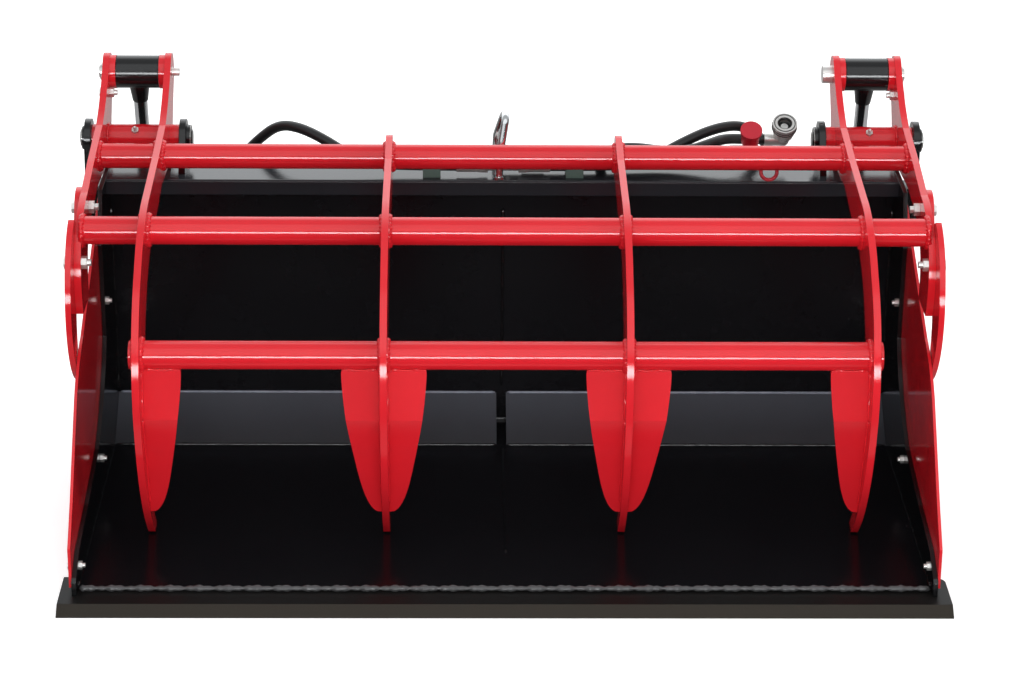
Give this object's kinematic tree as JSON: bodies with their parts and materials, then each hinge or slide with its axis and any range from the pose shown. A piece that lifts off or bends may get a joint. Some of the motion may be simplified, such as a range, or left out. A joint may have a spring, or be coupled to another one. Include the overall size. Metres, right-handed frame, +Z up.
{
  "type": "silage grab bucket",
  "caption": "Loader bucket for silage with a hydraulic tine grapple that closes over a straight cutting edge.",
  "frame": {"origin": "underside of the cutting edge, at its front line and halfway along its width", "axes": "+X to the grab's left seen from the loader, along the cutting edge; +Y back from the edge to the hitch; +Z up"},
  "size_m": [1.544, 1.017, 0.716],
  "materials": {
    "red_paint": "gloss powder coat on welded steel",
    "black_paint": "semi-gloss powder coat on folded sheet",
    "blade_steel": "black paint over a hardened steel edge",
    "zinc": "zinc plated, slightly dull",
    "chrome_rod": "hard chromed and polished",
    "piston_iron": "machined, oiled",
    "hose_rubber": "smooth hydraulic hose cover",
    "clamp_plastic": "moulded polypropylene",
    "cap_plastic": "soft moulded dust cap"
  },
  "bodies": {
    "bucket": {"bucket_shell": "black_paint", "corner_sheets": "black_paint", "cutting_edge": "blade_steel", "wear_skids": "black_paint", "top_beam": "black_paint", "side_plate_left": "black_paint", "side_plate_right": "black_paint", "side_panel_left": "red_paint", "side_panel_right": "red_paint", "panel_bolts": "zinc", "inner_ears": "black_paint", "outer_ears": "black_paint", "pivot_pins": "zinc", "cylinder_foot_left": "black_paint", "cylinder_foot_right": "black_paint", "foot_pins": "zinc", "hitch_plate_left": "black_paint", "hitch_plate_right": "black_paint", "hitch_tie_tube": "black_paint", "hose_ring": "chrome_rod", "hose_tees": "zinc", "hose_clamps": "clamp_plastic", "open_coupling": "zinc", "capped_coupling": "zinc", "dust_cap": "cap_plastic", "foot_side_hose_left": "hose_rubber", "foot_side_hose_right": "hose_rubber", "rod_side_hose_left": "hose_rubber", "rod_side_hose_right": "hose_rubber", "supply_hose_capped": "hose_rubber", "supply_hose_open": "hose_rubber"},
    "grapple": {"inner_tine_left": "red_paint", "inner_tine_right": "red_paint", "outer_tine_left": "red_paint", "outer_tine_right": "red_paint", "lever_plate_left": "red_paint", "lever_plate_right": "red_paint", "crescent_left": "red_paint", "crescent_right": "red_paint", "crescent_bolts": "zinc", "upper_cross_tube": "red_paint", "middle_cross_tube": "red_paint", "lower_cross_tube": "red_paint", "tine_wings": "red_paint", "pivot_bush_left": "red_paint", "pivot_bush_right": "red_paint", "grease_nipples": "zinc", "top_pins": "zinc", "top_pin_locks": "zinc"},
    "cylinder_barrel_left": {"barrel_left": "black_paint", "gland_left": "black_paint"},
    "piston_rod_left": {"rod_left": "chrome_rod", "rod_eye_left": "black_paint", "piston_left": "piston_iron"},
    "cylinder_barrel_right": {"barrel_right": "black_paint", "gland_right": "black_paint"},
    "piston_rod_right": {"rod_right": "chrome_rod", "rod_eye_right": "black_paint", "piston_right": "piston_iron"}
  },
  "joints": [
    {"name": "grapple_hinge", "type": "hinge", "parent": "bucket", "child": "grapple", "pos_m": [0, 0.785, 0.578], "axis": [-1, 0, 0], "range_deg": [0, 50]},
    {"name": "barrel_swing_left", "type": "hinge", "parent": "bucket", "child": "cylinder_barrel_left", "pos_m": [-0.6715, 0.985, 0.24], "axis": [-1, 0, 0], "range_deg": [0, 5], "deforming": ["rod_side_hose_left", "foot_side_hose_left"]},
    {"name": "rod_slide_left", "type": "slide", "parent": "cylinder_barrel_left", "child": "piston_rod_left", "axis": [0, 0.2727, -0.9621], "range_m": [0, 0.1025]},
    {"name": "barrel_swing_right", "type": "hinge", "parent": "bucket", "child": "cylinder_barrel_right", "pos_m": [0.6715, 0.985, 0.24], "axis": [-1, 0, 0], "range_deg": [0, 5], "deforming": ["rod_side_hose_right", "foot_side_hose_right"]},
    {"name": "rod_slide_right", "type": "slide", "parent": "cylinder_barrel_right", "child": "piston_rod_right", "axis": [0, 0.2727, -0.9621], "range_m": [0, 0.1025]}
  ],
  "couplings": [
    {"joint": "barrel_swing_left", "follows": "grapple_hinge", "ratio": 0.0997},
    {"joint": "rod_slide_left", "follows": "grapple_hinge", "m_per_rad": 0.117},
    {"joint": "barrel_swing_right", "follows": "grapple_hinge", "ratio": 0.0997},
    {"joint": "rod_slide_right", "follows": "grapple_hinge", "m_per_rad": 0.117}
  ]
}
